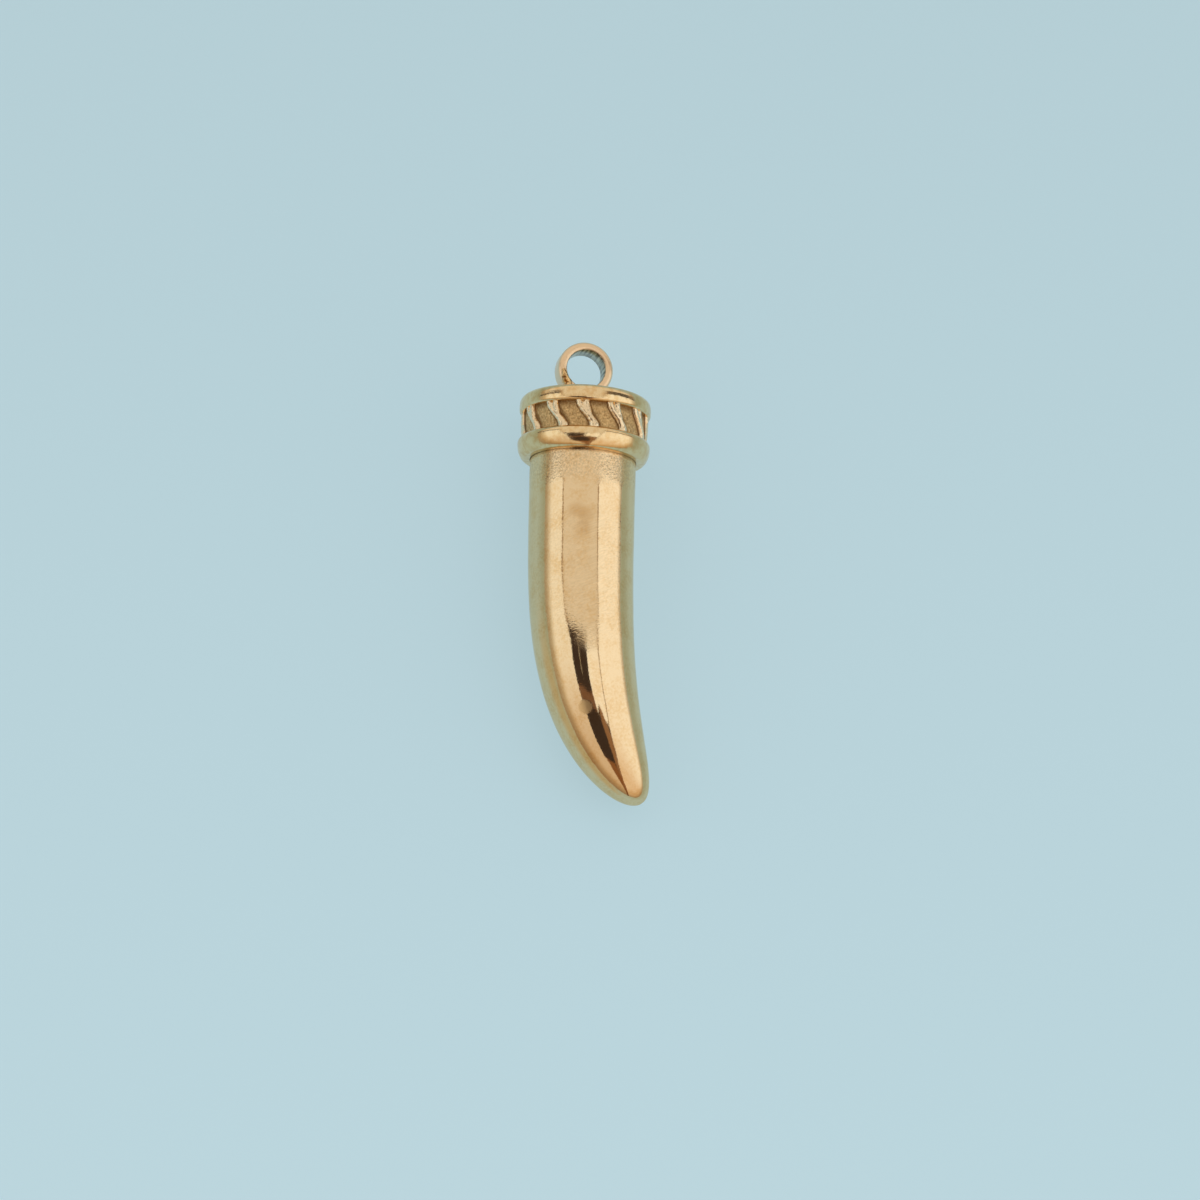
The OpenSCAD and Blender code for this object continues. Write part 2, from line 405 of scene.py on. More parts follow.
def addRoom():
    world = bpy.data.worlds.new("studio")
    bpy.context.scene.world = world
    world.use_nodes = True
    world.node_tree.nodes["Background"].inputs["Color"].default_value = hexColour(room["dark"])
    world.node_tree.nodes["Background"].inputs["Strength"].default_value = 1.0
    addFloor()
    for box in softboxes:
        addSoftbox(box)
    bpy.context.scene.view_settings.view_transform = "Standard"


addRoom()
print("surface and softboxes placed")


# Horn

hornShape = {
    "diameter": 6.79,
    "length": 21.8,       # from the mouth of the cap to the tip
    "curl": 4.85,         # how far the tip is off the cap's axis
    "leanShare": 0.09,    # share of the curl that is an even lean
    "curlPower": 4.1,
    "taperPower": 3.85,
    "seatTop": 3.3,       # the straight end inside the cap
    "rings": 64,
    "sides": 96,
    "crowding": 1.8,      # rings lie closer together towards the tip
    "tipShare": 0.9995,   # where the last ring closes
    "waveSize": 3.2,      # slow waves left by hand polishing
    "waveDepth": 0.03,
    "waveLevel": 0.85,    # the waves go into the metal
}


def hornStation(u):
    h = hornShape
    early, late = h["leanShare"], 1 - h["leanShare"]
    sideways = h["curl"] * (early * u + late * u ** h["curlPower"])
    slope = h["curl"] * (early + late * h["curlPower"] * u ** (h["curlPower"] - 1))
    radius = h["diameter"] / 2 * math.sqrt(1 - u ** h["taperPower"])
    return Vector((sideways, 0, -h["length"] * u)), radius, -math.atan2(slope, h["length"])


def makeHorn():
    h = hornShape
    stations = [(Vector((0, 0, h["seatTop"])), h["diameter"] / 2, 0)]
    for i in range(h["rings"] + 1):
        u = h["tipShare"] * (1 - (1 - i / h["rings"]) ** h["crowding"])
        stations.append(hornStation(u))
    horn = drawBar("smoothHorn", stations, h["sides"])
    applyModifier(horn, "SUBSURF", levels=1, render_levels=1)
    wave = bpy.data.textures.new("polishingWave", "CLOUDS")
    wave.noise_scale = h["waveSize"]
    applyModifier(
        horn, "DISPLACE", texture=wave, texture_coords="LOCAL",
        strength=h["waveDepth"], mid_level=h["waveLevel"],
    )
    shadeSmooth(horn)
    return horn


horn = makeHorn()
print("horn:", countTriangles(horn), "triangles")


# Cap: cup, bead, recessed band, rim and crown turned from one outline

capShape = {
    "cupRadius": 3.408,
    "cupDepth": 3.35,     # a little more than the seated end of the horn
    "lipRadius": 3.70,
    "coreRadius": 3.683,
    "bandRadius": 3.80,
    "beadRadius": 4.24,
    "beadLow": 1.0,       # height of the bead's widest line
    "beadHigh": 0.38,
    "recessLow": 1.38,
    "recessHeight": 1.66,
    "rimRadius": 4.2,
    "rimHeight": 3.62,    # top of the rim's flat side
    "rimHigh": 0.48,
    "rimLow": 0.6,
    "rimEdge": 0.18,
    "rimBelly": 0.015,    # the side isn't quite flat
    "crownRise": 0.2,
    "sharpAngle": 48,     # degrees, from which an edge shows as one
    "steps": 160,
    "arcSteps": 16,
    "edgeSteps": 8,
    "bellySteps": 4,
}


def makeShell():
    c = capShape
    edge = c["rimHeight"] + c["rimHigh"]
    crownRadius = c["rimRadius"] - c["rimHigh"]
    underside = c["rimHeight"] - c["rimLow"]
    sideLow = underside + c["rimEdge"]
    outline = []
    for i in range(c["arcSteps"] + 1):
        share = i / c["arcSteps"]
        outline.append((crownRadius * share, edge + c["crownRise"] * (1 - share * share)))
    outline += arcPoints((crownRadius, c["rimHeight"]), (c["rimHigh"],) * 2, 90, 0, c["arcSteps"], 1)
    for i in range(1, c["bellySteps"]):
        share = i / c["bellySteps"]
        bulge = c["rimBelly"] * math.sin(math.pi * share)
        outline.append((c["rimRadius"] + bulge, c["rimHeight"] + (sideLow - c["rimHeight"]) * share))
    outline += arcPoints(
        (c["rimRadius"] - c["rimEdge"], sideLow), (c["rimEdge"],) * 2, 0, -90, c["edgeSteps"]
    )
    outline += [(c["coreRadius"], underside), (c["coreRadius"], c["recessLow"])]
    outline += arcPoints(
        (c["beadRadius"] - c["beadHigh"], c["beadLow"]), (c["beadHigh"],) * 2, 90, 0, c["arcSteps"]
    )
    outline += arcPoints(
        (c["lipRadius"], c["beadLow"]), (c["beadRadius"] - c["lipRadius"], c["beadLow"]),
        0, -90, c["arcSteps"], 1,
    )
    outline += [(c["cupRadius"], 0), (c["cupRadius"], c["cupDepth"]), (0, c["cupDepth"])]
    points = [(radius, 0, height) for radius, height in outline]
    return spinLine("capShell", points, c["steps"], (0, 0, 0), (0, 0, 1))


# Ribs: each a stem that runs the whole height and a short head beside its upper end.
# A row is height as a share of the band, share of the turn, sideways place and radius in mm
ribShape = {
    "count": 12,
    "start": 22,          # degrees from the side that the horn curls to
    "turn": 12,           # degrees from a rib's lower to its upper end
    "sides": 14,
    "rise": 0.27,         # how far a rib stands out
    "bandDepth": 0.2,
    "bandPast": 0.3,      # how far the band runs into bead and rim
    "grit": 0.05,         # voxel of the cast band
    "grainSize": 0.16,
    "grainDepth": 0.05,
    "seed": 12,           # no two ribs are quite the same
    "stemSwell": (0.92, 1.08),
    "headSwell": (0.85, 1.05),
    "headSway": (-0.03, 0.03),
    "stem": (
        (-0.20, 0.00, 0.00, 0.38),
        (0.12, 0.04, 0.00, 0.37),
        (0.28, 0.26, 0.00, 0.36),
        (0.45, 0.54, -0.02, 0.34),
        (0.62, 0.78, -0.10, 0.29),
        (0.80, 0.95, -0.19, 0.24),
        (1.00, 1.00, -0.25, 0.24),
        (1.20, 1.00, -0.26, 0.24),
    ),
    "head": (
        (0.38, 0.44, 0.04, 0.10),
        (0.50, 0.60, 0.10, 0.17),
        (0.64, 0.80, 0.16, 0.23),
        (0.80, 0.95, 0.20, 0.24),
        (0.95, 1.00, 0.20, 0.22),
        (1.20, 1.00, 0.20, 0.22),
    ),
}


def makeStrand(name, rows, angle, swell, sway):
    # one stem or head, standing out of the band by the rise
    c, r = capShape, ribShape
    stations = []
    for height, turn, sideways, radius in rows:
        across = math.radians(angle - r["turn"] * (turn - 0.5)) + (sideways + sway) / c["bandRadius"]
        away = c["bandRadius"] + r["rise"] - radius * swell
        middle = Vector((
            away * math.cos(across),
            away * math.sin(across),
            c["recessLow"] + c["recessHeight"] * height,
        ))
        stations.append((middle, radius * swell, 0))
    return drawBar(name, stations, r["sides"])


def makeBand():
    # ground and ribs, cast in one with a fine grain
    c, r = capShape, ribShape
    low = c["recessLow"] - r["bandPast"]
    high = c["recessLow"] + c["recessHeight"] + r["bandPast"]
    outer, inner = c["bandRadius"], c["bandRadius"] - r["bandDepth"]
    corners = ((inner, 0, low), (outer, 0, low), (outer, 0, high), (inner, 0, high), (inner, 0, low))
    parts = [spinLine("castBand", corners, c["steps"], (0, 0, 0), (0, 0, 1))]
    chance = random.Random(r["seed"])
    for i in range(r["count"]):
        angle = r["start"] + 360 * i / r["count"]
        parts.append(makeStrand("stem", r["stem"], angle, chance.uniform(*r["stemSwell"]), 0))
        sway = chance.uniform(*r["headSway"])
        parts.append(makeStrand("head", r["head"], angle, chance.uniform(*r["headSwell"]), sway))
    band = joinPieces(parts)
    applyModifier(band, "REMESH", mode="VOXEL", voxel_size=r["grit"])
    applyModifier(band, "SMOOTH", factor=0.5, iterations=3)
    grain = bpy.data.textures.new("castGrain", "CLOUDS")
    grain.noise_scale = r["grainSize"]
    applyModifier(band, "DISPLACE", texture=grain, texture_coords="LOCAL", strength=r["grainDepth"])
    shadeSmooth(band)
    return band


shell = makeShell()
print("shell:", countTriangles(shell), "triangles")
band = makeBand()
print("band and ribs:", countTriangles(band), "triangles")


# Loop and solder

loopShape = {
    "bore": 2.5,
    "wall": 0.548,
    "width": 1.5,
    "round": 0.28,        # rounding of the outer edges
    "chamfer": 0.04,      # of the hole's edges
    "steps": 120,
    "arcSteps": 8,
}


def makeLoop():
    p = loopShape
    inner, half = p["bore"] / 2, p["width"] / 2
    outer = inner + p["wall"]
    outline = [(inner, half - p["chamfer"]), (inner, p["chamfer"] - half), (inner + p["chamfer"], -half)]
    outline += arcPoints((outer - p["round"], p["round"] - half), (p["round"],) * 2, -90, 0, p["arcSteps"])
    outline += arcPoints((outer - p["round"], half - p["round"]), (p["round"],) * 2, 0, 90, p["arcSteps"])
    outline += [(inner + p["chamfer"], half), outline[0]]
    middle = (-upright["loopOff"], 0, upright["loopHeight"])
    points = [(middle[0] + radius, along, middle[2]) for radius, along in outline]
    return spinLine("loop", points, p["steps"], middle, (0, 1, 0))


# Lumps of solder: angle round the loop and distance from its middle, place along the hole, radius
solderShape = {
    "lumps": (
        (190, 1.48, -0.72, 0.15), (197, 1.47, -0.74, 0.19), (204, 1.50, -0.72, 0.22),
        (212, 1.52, -0.72, 0.25), (220, 1.46, -0.66, 0.24), (226, 1.60, -0.60, 0.30),
        (233, 1.40, -0.52, 0.18),
    ),
    "foot": ((4.14, 1.10), (4.32, 1.04), (4.40, 0.92), (4.46, 0.78)),    # height and radius
    "footSides": 40,
    "voxel": 0.05,
}


def makeSolder():
    s = solderShape
    lumps = []
    for angle, away, along, radius in s["lumps"]:
        turn = math.radians(angle)
        place = (
            -upright["loopOff"] + away * math.cos(turn),
            along,
            upright["loopHeight"] + away * math.sin(turn),
        )
        deselectAll()
        bpy.ops.mesh.primitive_ico_sphere_add(subdivisions=3, radius=radius, location=place)
        bpy.ops.object.transform_apply(location=True)
        lumps.append(bpy.context.object)
    stations = [(Vector((-upright["loopOff"], 0, height)), radius, 0) for height, radius in s["foot"]]
    lumps.append(drawBar("solderFoot", stations, s["footSides"]))
    solder = joinPieces(lumps)
    solder.name = "solder"
    applyModifier(solder, "REMESH", mode="VOXEL", voxel_size=s["voxel"])
    applyModifier(solder, "SMOOTH", factor=0.5, iterations=4)
    shadeSmooth(solder)
    return solder


loop = makeLoop()
solder = makeSolder()
print("loop and solder:", countTriangles(loop), countTriangles(solder), "triangles")


# Finishes

gold = {
    "pale": "#F1D7AF",
    "warm": "#E4BE88",
    "cap": "#F0D6A9",
    "stain": "#C08E48",
    # dirt and painted shade in the seam under the bead and in the cap's mouth
    "dirtAndShade": "#4A3018",
    "spot": "#E6C48E",
    "edge": "#FAF6EC",    # metals reflect less just before the rim of their outline
    # painted reflection and shade: tints for the flanks of horn and cap, by the way they face
    "paintedFlank": "#F8F6F0",
    "paintedFlankBrown": "#E6DBC6",
    "paintedFlankGold": "#FFD9AE",
    "ribTop": "#F4DDB9",
    "ribFloor": "#F4D8A4",
    "ribPit": "#BE9864",
    # painted shade on the band's ground, under the rim and beside the ribs
    "ribShade": "#6E4A24",
    "loop": "#EED0AC",
    "steel": "#C2BCA8",
    "scratch": "#77746A",
    "solder": "#EBC48C",
    "pit": "#7A4E22",
}
# Marks on the horn, in the upright millimetres
marks = {
    "stains": (((-0.93, -3.24, -4.02), 0.55), ((-0.30, -3.37, -4.31), 0.5), ((-0.50, -3.34, -5.16), 0.6)),
    "spot": (0.37, -2.52, -16.49),
    "spotReach": 0.47,
    "smudge": (0.1, -3.1, -12.3),
    "smudgeReach": 1.0,
    "seamFrom": -0.2,     # dirt and painted shade in the seam under the bead
    "seamTo": -0.02,
    "grainFrom": -2.4,    # the casting's grain isn't polished away beside the cap
    "grainTo": -1.3,
    "grainWander": 1.2,   # how far its edge wanders up and down
    "linesLean": 25,      # degrees that the polishing lines rise to the side of the curl
    "linesLow": -13.0,
    "linesHigh": -5.0,
    "linesFade": 2.0,
    "paintedGoldFrom": -8.0,   # painted reflection: deeper gold on the outside of the curl
    "paintedGoldTo": -15.0,
}
# Wear, grime and painted shade of the cap and loop, in the same millimetres
wearAndShade = {
    "mouthFrom": 3.4,     # grime and painted shade in the cap's mouth, by the distance from the axis
    "mouthTo": 3.44,
    "mouthTop": 3.6,      # and below this height
    "shadeFrom": 2.5,     # painted shade: the band darkens up to the rim, by height
    "shadeTo": 3.0,
    "footFrom": 3.79,     # painted shade: its ground is dark by a rib's foot, by the distance from the axis
    "footTo": 3.84,
    "rubbedFrom": 3.84,   # a rib's top is rubbed pale
    "rubbedTo": 3.94,
    "holeFrom": 0.02,     # the coating is gone up to here from the wall of the loop's hole
    "holeTo": 0.06,
}
# Width of a cloud, grain, scratch or pore and how deep it is, in millimetres. Belt lines and
# scratches are finer on the real one, and are drawn as wide as they need to be to show
pattern = {
    "clouds": 1.1111,
    "mottle": 0.16667,
    "ragged": 0.7143,
    "castGrain": 0.125,
    "castDepth": 0.019,
    "beltLine": (1.8, 0.08, 0.08),
    "beltDepth": 0.003,
    "capMottle": 0.33333,
    "capGrain": 0.16667,
    "capDepth": 0.004,
    "bandGrit": 0.11111,
    "bandDepth": 0.04,
    "scratch": (0.16667, 2.0, 0.16667),
    "scratchDepth": 0.03,
    "pore": 0.2,
    "poreDepth": 0.1,
}


def facing(material):
    # the way that the lying surface faces
    normal = addNode(material, "TexCoord").outputs["Normal"]
    return addNode(material, "SeparateXYZ", {0: normal}).outputs


def offAxis(material, where):
    # distance from the cap's axis
    flat = addNode(material, "VectorMath", {0: where, 1: (1, 1, 0)}, operation="MULTIPLY").outputs[0]
    return addNode(material, "VectorMath", {0: flat}, operation="LENGTH").outputs["Value"]


def addStain(material, where, ragged, colour, place, reach):
    # a yellow stain with a ragged soft edge
    away = addNode(material, "VectorMath", {0: where, 1: place}, operation="DISTANCE").outputs["Value"]
    away = addNode(material, "Math", {0: ragged, 1: reach, 2: away}, operation="MULTIPLY_ADD").outputs[0]
    share = addNode(material, "MapRange", {
        "Value": away, "From Min": reach * 0.8, "From Max": reach * 1.9, "To Min": 0.3, "To Max": 0.0,
    }, interpolation_type="SMOOTHSTEP").outputs[0]
    return addNode(material, "Mix", {
        0: share, 6: colour, 7: hexColour(gold["stain"]),
    }, data_type="RGBA").outputs[2]


def paintFlankReflection(material, colour, goldReflection=0.0):
    # painted reflection and shade: the flanks, by the way they face, get a brown haze along the bright top
    up = facing(material)["Z"]
    paintedHaze = addNode(material, "MapRange", {
        "Value": up, "From Min": 0.79, "From Max": 0.69,
    }, interpolation_type="SMOOTHSTEP").outputs[0]
    outer = addNode(material, "MapRange", {
        "Value": up, "From Min": 0.67, "From Max": 0.47,
    }, interpolation_type="SMOOTHSTEP").outputs[0]
    tint = addNode(material, "Mix", {
        0: outer, 6: hexColour(gold["paintedFlankBrown"]), 7: hexColour(gold["paintedFlank"]),
    }, data_type="RGBA").outputs[2]
    tint = addNode(material, "Mix", {
        0: goldReflection, 6: tint, 7: hexColour(gold["paintedFlankGold"]),
    }, data_type="RGBA").outputs[2]
    paintedFlankTint = addNode(material, "Mix", {0: paintedHaze, 6: (1, 1, 1, 1), 7: tint}, data_type="RGBA").outputs[2]
    return addNode(material, "VectorMath", {0: colour, 1: paintedFlankTint}, operation="MULTIPLY").outputs[0]


def paintedGoldShare(material, height):
    # share of the painted gold reflection on the flank that the horn curls away from, towards the tip
    way = facing(material)
    low = addNode(material, "MapRange", {
        "Value": height, "From Min": marks["paintedGoldFrom"], "From Max": marks["paintedGoldTo"],
    }, interpolation_type="SMOOTHSTEP").outputs[0]
    side = addNode(material, "MapRange", {
        "Value": way["X"], "From Min": -0.15, "From Max": -0.4, "To Min": 0.0, "To Max": 0.9,
    }, interpolation_type="SMOOTHSTEP").outputs[0]
    above = addNode(material, "MapRange", {
        "Value": way["Z"], "From Min": 0.36, "From Max": 0.52,
    }, interpolation_type="SMOOTHSTEP").outputs[0]
    below = addNode(material, "MapRange", {
        "Value": way["Z"], "From Min": 0.67, "From Max": 0.56,
    }, interpolation_type="SMOOTHSTEP").outputs[0]
    share = addNode(material, "Math", {0: low, 1: side}, operation="MULTIPLY").outputs[0]
    share = addNode(material, "Math", {0: share, 1: above}, operation="MULTIPLY").outputs[0]
    return addNode(material, "Math", {0: share, 1: below}, operation="MULTIPLY").outputs[0]


def hornGround(material, where, mottle):
    # warmer clouds and fine mottles in the bright bands, and the stains
    clouds = addNode(material, "TexNoise", {
        "Vector": where, "Scale": 1 / pattern["clouds"], "Detail": 3.0,
    }).outputs[0]
    tone = addNode(material, "Math", {0: clouds, 1: mottle}, operation="MULTIPLY").outputs[0]
    tone = addNode(material, "MapRange", {
        "Value": tone, "From Min": 0.2, "From Max": 0.42, "To Min": 0.0, "To Max": 0.7,
    }).outputs[0]
    colour = addNode(material, "Mix", {
        0: tone, 6: hexColour(gold["pale"]), 7: hexColour(gold["warm"]),
    }, data_type="RGBA").outputs[2]
    for place, reach in marks["stains"]:
        colour = addStain(material, where, mottle, colour, place, reach)
    return colour


def mattSpot(material, where, mottle):
    # share of the round spot where the coating is matt
    away = addNode(material, "VectorMath", {
        0: where, 1: marks["spot"],
    }, operation="DISTANCE").outputs["Value"]
    away = addNode(material, "Math", {0: mottle, 1: 0.25, 2: away}, operation="MULTIPLY_ADD").outputs[0]
    return addNode(material, "MapRange", {
        "Value": away, "From Min": marks["spotReach"] * 1.05, "From Max": marks["spotReach"] * 1.4,
        "To Min": 0.8, "To Max": 0.0,
    }, interpolation_type="SMOOTHSTEP").outputs[0]


def castShare(material, where, height):
    # share of the casting's grain that is left, beside the cap and in one smudge
    wander = marks["grainWander"]
    ragged = addNode(material, "TexNoise", {
        "Vector": where, "Scale": 1 / pattern["ragged"], "Detail": 2.0,
    }).outputs[0]
    raggedHeight = addNode(material, "Math", {
        0: ragged, 1: wander, 2: height,
    }, operation="MULTIPLY_ADD").outputs[0]
    collar = addNode(material, "MapRange", {
        "Value": raggedHeight,
        "From Min": marks["grainFrom"] + wander / 2, "From Max": marks["grainTo"] + wander / 2,
    }, interpolation_type="SMOOTHSTEP").outputs[0]
    away = addNode(material, "VectorMath", {
        0: where, 1: marks["smudge"],
    }, operation="DISTANCE").outputs["Value"]
    smudge = addNode(material, "MapRange", {
        "Value": away, "From Min": 0.3, "From Max": marks["smudgeReach"], "To Min": 0.45, "To Max": 0.0,
    }, interpolation_type="SMOOTHSTEP").outputs[0]
    return addNode(material, "Math", {0: collar, 1: smudge}, operation="MAXIMUM").outputs[0]


def beltLines(material, where, height):
    # long fine lines of the polishing belt, and the share in which they show
    along = addNode(material, "Mapping", {
        "Vector": where, "Rotation": (0, -math.radians(marks["linesLean"]), 0),
        "Scale": pattern["beltLine"],
    }, vector_type="TEXTURE").outputs[0]
    lines = addNode(material, "TexNoise", {"Vector": along, "Scale": 1.0, "Detail": 1.0}).outputs[0]
    top = addNode(material, "MapRange", {
        "Value": height,
        "From Min": marks["linesHigh"], "From Max": marks["linesHigh"] + marks["linesFade"],
        "To Min": 1.0, "To Max": 0.15,
    }, interpolation_type="SMOOTHSTEP").outputs[0]
    end = addNode(material, "MapRange", {
        "Value": height,
        "From Min": marks["linesLow"], "From Max": marks["linesLow"] + marks["linesFade"],
        "To Min": 0.15, "To Max": 1.0,
    }, interpolation_type="SMOOTHSTEP").outputs[0]
    return lines, addNode(material, "Math", {0: top, 1: end}, operation="MULTIPLY").outputs[0]


def hornFinish():
    # mirror polished steel under a hard gold coloured coating, which shows the room in sharp bands.
    # The casting's grain, left beside the cap, breaks them up
    material = startMaterial("polishedCoatedSteel")
    where = uprightCoordinates(material)
    height = addNode(material, "SeparateXYZ", {0: where}).outputs["Z"]
    mottle = addNode(material, "TexNoise", {
        "Vector": where, "Scale": 1 / pattern["mottle"], "Detail": 3.0,
    }).outputs[0]
    colour = hornGround(material, where, mottle)
    # dirt and painted shade in the seam under the bead
    seam = addNode(material, "MapRange", {
        "Value": height, "From Min": marks["seamFrom"], "From Max": marks["seamTo"],
        "To Min": 0.0, "To Max": 0.2,
    }, interpolation_type="SMOOTHSTEP").outputs[0]
    colour = addNode(material, "Mix", {
        0: seam, 6: colour, 7: hexColour(gold["dirtAndShade"]),
    }, data_type="RGBA").outputs[2]
    spot = mattSpot(material, where, mottle)
    colour = addNode(material, "Mix", {
        0: spot, 6: colour, 7: hexColour(gold["spot"]),
    }, data_type="RGBA").outputs[2]
    # the grain is bumps and speckles
    cast = castShare(material, where, height)
    grain = addNode(material, "TexNoise", {
        "Vector": where, "Scale": 1 / pattern["castGrain"], "Detail": 2.0,
    }).outputs[0]
    speckle = addNode(material, "MapRange", {
        "Value": grain, "From Min": 0.38, "From Max": 0.62, "To Min": 0.87, "To Max": 1.08,
    }).outputs[0]
    speckled = addNode(material, "VectorMath", {0: colour, "Scale": speckle}, operation="SCALE").outputs[0]
    colour = addNode(material, "Mix", {0: cast, 6: colour, 7: speckled}, data_type="RGBA").outputs[2]
    depth = addNode(material, "MapRange", {"Value": cast, "To Min": 0.1, "To Max": 1.0}).outputs[0]
    # the top is rubbed a little smoother than the sides
    rubbed = addNode(material, "MapRange", {
        "Value": facing(material)["Z"], "From Min": 0.9, "From Max": 0.97, "To Min": 1.0, "To Max": 0.5,
    }, interpolation_type="SMOOTHSTEP").outputs[0]
    depth = addNode(material, "Math", {0: depth, 1: rubbed}, operation="MULTIPLY").outputs[0]
    grained = addNode(material, "Bump", {
        "Height": grain, "Strength": depth, "Distance": pattern["castDepth"] * mm,
    }).outputs[0]
    # the belt's lines are faint streaks and grooves
    lines, lined = beltLines(material, where, height)
    streaks = addNode(material, "MapRange", {
        "Value": lines, "From Min": 0.3, "From Max": 0.7, "To Min": 0.93, "To Max": 1.03,
    }).outputs[0]
    streaked = addNode(material, "VectorMath", {0: colour, "Scale": streaks}, operation="SCALE").outputs[0]
    colour = addNode(material, "Mix", {0: lined, 6: colour, 7: streaked}, data_type="RGBA").outputs[2]
    grooves = addNode(material, "Math", {0: lines, 1: lined}, operation="MULTIPLY").outputs[0]
    surface = addNode(material, "Bump", {
        "Height": grooves, "Distance": pattern["beltDepth"] * mm, "Normal": grained,
    }).outputs[0]
    # painted reflection and shade: the flanks are tinted by the way they face
    colour = paintFlankReflection(material, colour, paintedGoldShare(material, height))
    roughness = addNode(material, "MapRange", {"Value": cast, "To Min": 0.07, "To Max": 0.24}).outputs[0]
    roughness = addNode(material, "Math", {
        0: spot, 1: 0.33, 2: roughness,
    }, operation="MULTIPLY_ADD").outputs[0]
    shader = addNode(material, "BsdfPrincipled", {
        "Base Color": colour, "Metallic": 1.0, "Roughness": roughness, "Normal": surface,
        "Specular Tint": hexColour(gold["edge"]),
    })
    return finishMaterial(material, shader)


def shellFinish():
    # polished cap steel, a little duller than the horn, so its bands are softer. Grime and painted shade
    # in the mouth draw a dark line round the horn
    material = startMaterial("polishedCapSteel")
    where = uprightCoordinates(material)
    mottle = addNode(material, "TexNoise", {
        "Vector": where, "Scale": 1 / pattern["capMottle"], "Detail": 4.0,
    }).outputs[0]
    tone = addNode(material, "MapRange", {
        "Value": mottle, "From Min": 0.42, "From Max": 0.65, "To Min": 0.0, "To Max": 0.8,
    }).outputs[0]
    colour = addNode(material, "Mix", {
        0: tone, 6: hexColour(gold["cap"]), 7: hexColour(gold["warm"]),
    }, data_type="RGBA").outputs[2]
    # dirt and painted shade in the cap's mouth, seen in the gap round the horn
    inside = addNode(material, "MapRange", {
        "Value": offAxis(material, where), "From Min": wearAndShade["mouthFrom"], "From Max": wearAndShade["mouthTo"],
        "To Min": 0.5, "To Max": 0.0,
    }, interpolation_type="SMOOTHSTEP").outputs[0]
    height = addNode(material, "SeparateXYZ", {0: where}).outputs["Z"]
    below = addNode(material, "Math", {0: height, 1: wearAndShade["mouthTop"]}, operation="LESS_THAN").outputs[0]
    dirtAndShade = addNode(material, "Math", {0: inside, 1: below}, operation="MULTIPLY").outputs[0]
    colour = addNode(material, "Mix", {
        0: dirtAndShade, 6: colour, 7: hexColour(gold["dirtAndShade"]),
    }, data_type="RGBA").outputs[2]
    # painted reflection and shade: the flanks are tinted by the way they face
    colour = paintFlankReflection(material, colour)
    grain = addNode(material, "TexNoise", {
        "Vector": where, "Scale": 1 / pattern["capGrain"], "Detail": 2.0,
    }).outputs[0]
    surface = addNode(material, "Bump", {
        "Height": grain, "Distance": pattern["capDepth"] * mm,
    }).outputs[0]
    roughness = addNode(material, "MapRange", {"Value": mottle, "To Min": 0.08, "To Max": 0.2}).outputs[0]
    shader = addNode(material, "BsdfPrincipled", {
        "Base Color": colour, "Metallic": 1.0, "Roughness": roughness, "Normal": surface,
    })
    return finishMaterial(material, shader)


def shadeBesideRibs(material, where):
    # painted shade: most at the foot of the ribs, 0 in the middle between two
    r, c = ribShape, capShape
    parts = addNode(material, "SeparateXYZ", {0: where}).outputs
    angle = addNode(material, "Math", {0: parts["Y"], 1: parts["X"]}, operation="ARCTAN2").outputs[0]
    slant = addNode(material, "MapRange", {
        "Value": parts["Z"], "From Min": c["recessLow"], "From Max": c["recessLow"] + c["recessHeight"],
        "To Min": -math.radians(r["start"] + r["turn"] / 2),
        "To Max": math.radians(r["turn"] / 2 - r["start"]),
    }, interpolation_type="SMOOTHSTEP").outputs[0]
    angle = addNode(material, "Math", {0: angle, 1: slant}, operation="ADD").outputs[0]
    turns = addNode(material, "Math", {0: angle, 1: r["count"]}, operation="MULTIPLY").outputs[0]
    wave = addNode(material, "Math", {0: turns}, operation="COSINE").outputs[0]
    return addNode(material, "MapRange", {
        "Value": wave, "From Min": -0.35, "From Max": 0.6, "To Min": 0.0, "To Max": 0.75,
    }, interpolation_type="SMOOTHSTEP").outputs[0]


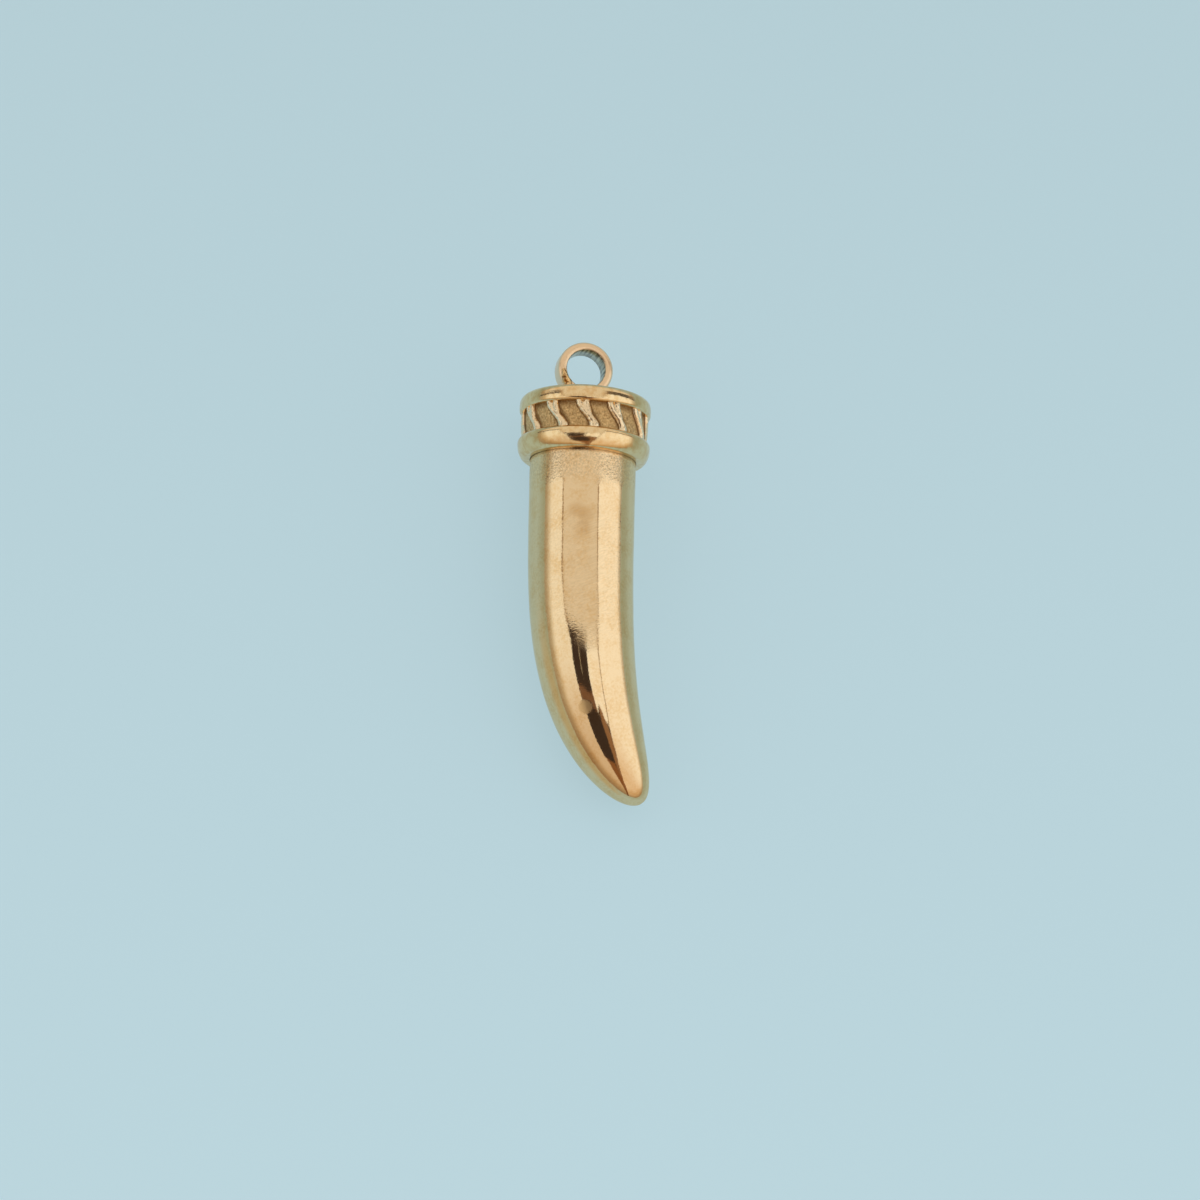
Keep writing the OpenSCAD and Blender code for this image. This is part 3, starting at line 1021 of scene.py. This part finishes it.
def bandFinish():
    # steel as cast: a matt gritty brown ground, painted darker as shade under the rim and beside the ribs,
    # and rib tops rubbed pale and bright
    material = startMaterial("castCapSteel")
    where = uprightCoordinates(material)
    radius = offAxis(material, where)
    height = addNode(material, "SeparateXYZ", {0: where}).outputs["Z"]
    grit = addNode(material, "TexNoise", {
        "Vector": where, "Scale": 1 / pattern["bandGrit"], "Detail": 3.0,
    }).outputs[0]
    gritty = addNode(material, "MapRange", {"Value": grit, "From Min": 0.3, "From Max": 0.7}).outputs[0]
    ground = addNode(material, "Mix", {
        0: gritty, 6: hexColour(gold["ribPit"]), 7: hexColour(gold["ribFloor"]),
    }, data_type="RGBA").outputs[2]
    # painted shade under the rim
    shade = addNode(material, "MapRange", {
        "Value": height, "From Min": wearAndShade["shadeFrom"], "From Max": wearAndShade["shadeTo"],
        "To Min": 0.0, "To Max": 0.6,
    }, interpolation_type="SMOOTHSTEP").outputs[0]
    foot = addNode(material, "MapRange", {
        "Value": radius, "From Min": wearAndShade["footFrom"], "From Max": wearAndShade["footTo"],
        "To Min": 0.0, "To Max": 0.9,
    }, interpolation_type="SMOOTHSTEP").outputs[0]
    beside = shadeBesideRibs(material, where)
    # painted shade under the rim, at the ribs' feet and beside them
    dark = addNode(material, "Math", {0: shade, 1: foot}, operation="MAXIMUM").outputs[0]
    dark = addNode(material, "Math", {0: dark, 1: beside}, operation="MAXIMUM").outputs[0]
    ground = addNode(material, "Mix", {
        0: dark, 6: ground, 7: hexColour(gold["ribShade"]),
    }, data_type="RGBA").outputs[2]
    rubbed = addNode(material, "MapRange", {
        "Value": radius, "From Min": wearAndShade["rubbedFrom"], "From Max": wearAndShade["rubbedTo"],
    }, interpolation_type="SMOOTHSTEP").outputs[0]
    colour = addNode(material, "Mix", {
        0: rubbed, 6: ground, 7: hexColour(gold["ribTop"]),
    }, data_type="RGBA").outputs[2]
    roughness = addNode(material, "MapRange", {"Value": rubbed, "To Min": 0.6, "To Max": 0.24}).outputs[0]
    depth = addNode(material, "MapRange", {"Value": rubbed, "To Min": 1.0, "To Max": 0.15}).outputs[0]
    surface = addNode(material, "Bump", {
        "Height": grit, "Strength": depth, "Distance": pattern["bandDepth"] * mm,
    }).outputs[0]
    shader = addNode(material, "BsdfPrincipled", {
        "Base Color": colour, "Metallic": 1.0, "Roughness": roughness, "Normal": surface,
    })
    return finishMaterial(material, shader)


def loopFinish():
    # satin steel with soft highlights, its hole worn grey with fine scratches across
    material = startMaterial("satinLoopSteel")
    where = uprightCoordinates(material)
    flat = addNode(material, "VectorMath", {0: where, 1: (1, 0, 1)}, operation="MULTIPLY").outputs[0]
    middle = (-upright["loopOff"], 0, upright["loopHeight"])
    radius = addNode(material, "VectorMath", {0: flat, 1: middle}, operation="DISTANCE").outputs["Value"]
    wall = loopShape["bore"] / 2
    worn = addNode(material, "MapRange", {
        "Value": radius, "From Min": wall + wearAndShade["holeFrom"], "From Max": wall + wearAndShade["holeTo"],
        "To Min": 1.0, "To Max": 0.0,
    }).outputs[0]
    across = addNode(material, "Mapping", {
        "Vector": where, "Scale": pattern["scratch"],
    }, vector_type="TEXTURE").outputs[0]
    scratches = addNode(material, "TexNoise", {"Vector": across, "Scale": 1.0, "Detail": 2.0}).outputs[0]
    scratched = addNode(material, "MapRange", {
        "Value": scratches, "From Min": 0.4, "From Max": 0.6,
    }).outputs[0]
    steel = addNode(material, "Mix", {
        0: scratched, 6: hexColour(gold["scratch"]), 7: hexColour(gold["steel"]),
    }, data_type="RGBA").outputs[2]
    colour = addNode(material, "Mix", {
        0: worn, 6: hexColour(gold["loop"]), 7: steel,
    }, data_type="RGBA").outputs[2]
    depth = addNode(material, "MapRange", {"Value": worn, "To Min": 0.15, "To Max": 1.0}).outputs[0]
    surface = addNode(material, "Bump", {
        "Height": scratches, "Strength": depth, "Distance": pattern["scratchDepth"] * mm,
    }).outputs[0]
    shader = addNode(material, "BsdfPrincipled", {
        "Base Color": colour, "Metallic": 1.0, "Roughness": 0.28, "Normal": surface,
    })
    return finishMaterial(material, shader)


def solderFinish():
    # gold solder as it flowed: more orange than the rest, with dark pores
    material = startMaterial("goldSolder")
    where = uprightCoordinates(material)
    pores = addNode(material, "TexNoise", {
        "Vector": where, "Scale": 1 / pattern["pore"], "Detail": 3.0,
    }).outputs[0]
    pored = addNode(material, "MapRange", {
        "Value": pores, "From Min": 0.38, "From Max": 0.54, "To Min": 1.0, "To Max": 0.0,
    }).outputs[0]
    colour = addNode(material, "Mix", {
        0: pored, 6: hexColour(gold["solder"]), 7: hexColour(gold["pit"]),
    }, data_type="RGBA").outputs[2]
    surface = addNode(material, "Bump", {
        "Height": pores, "Distance": pattern["poreDepth"] * mm,
    }).outputs[0]
    shader = addNode(material, "BsdfPrincipled", {
        "Base Color": colour, "Metallic": 1.0, "Roughness": 0.22, "Normal": surface,
    })
    return finishMaterial(material, shader)


horn.data.materials.append(hornFinish())
shell.data.materials.append(shellFinish())
band.data.materials.append(bandFinish())
loop.data.materials.append(loopFinish())
solder.data.materials.append(solderFinish())
print("finishes made")


# The cap's parts are one piece of soldered metal

def fuse(body, others):
    for other in others:
        applyModifier(
            body, "BOOLEAN", operation="UNION", solver="MANIFOLD", material_mode="TRANSFER", object=other
        )
        bpy.data.objects.remove(other)
    return body


cap = fuse(shell, (band, loop, solder))
cap.name = "ribbedCap"
makeActive(cap)
bpy.ops.object.shade_smooth_by_angle(angle=math.radians(capShape["sharpAngle"]))
print("cap:", countTriangles(cap), "triangles,", len(cap.data.materials), "finishes")

for piece, node, slot in ((horn, "horn", "horn_metal"), (cap, "cap", "cap_metal")):
    layPiece(piece)
    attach(piece, "root")
    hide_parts(node)
print("pieces laid down")
